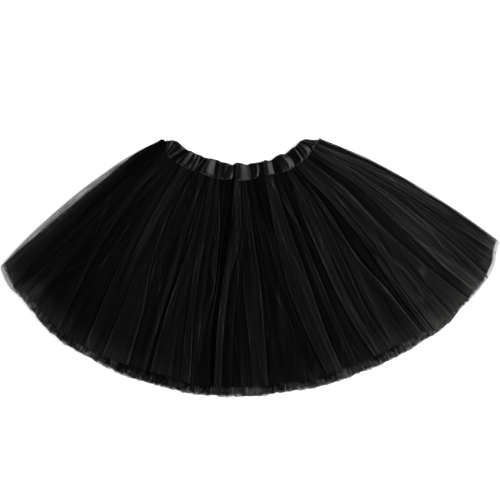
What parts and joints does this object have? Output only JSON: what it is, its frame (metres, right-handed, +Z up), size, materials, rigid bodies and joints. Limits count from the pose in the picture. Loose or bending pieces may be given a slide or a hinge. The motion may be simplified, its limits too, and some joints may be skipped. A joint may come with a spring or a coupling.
{
  "type": "ballet tutu",
  "caption": "Tulle tutu skirt laid flat: gathered satin waistband over nested pleated tulle rings that fan out to ragged hems.",
  "frame": {"origin": "middle of the skirt's outline seen from above, on the surface that it lies on", "axes": "+X across the skirt, from its left side fold to its right one as seen from above; +Y from the hem towards the waistband; +Z up off the surface"},
  "size_m": [0.8628, 0.4486, 0.023],
  "materials": {
    "satin": "black gathered satin with a soft gloss",
    "tulle": "black fine see-through net"
  },
  "bodies": {
    "root": {"waistband": "satin", "tulle_outer": "tulle", "tulle_middle": "tulle", "tulle_inner": "tulle"}
  },
  "joints": []
}
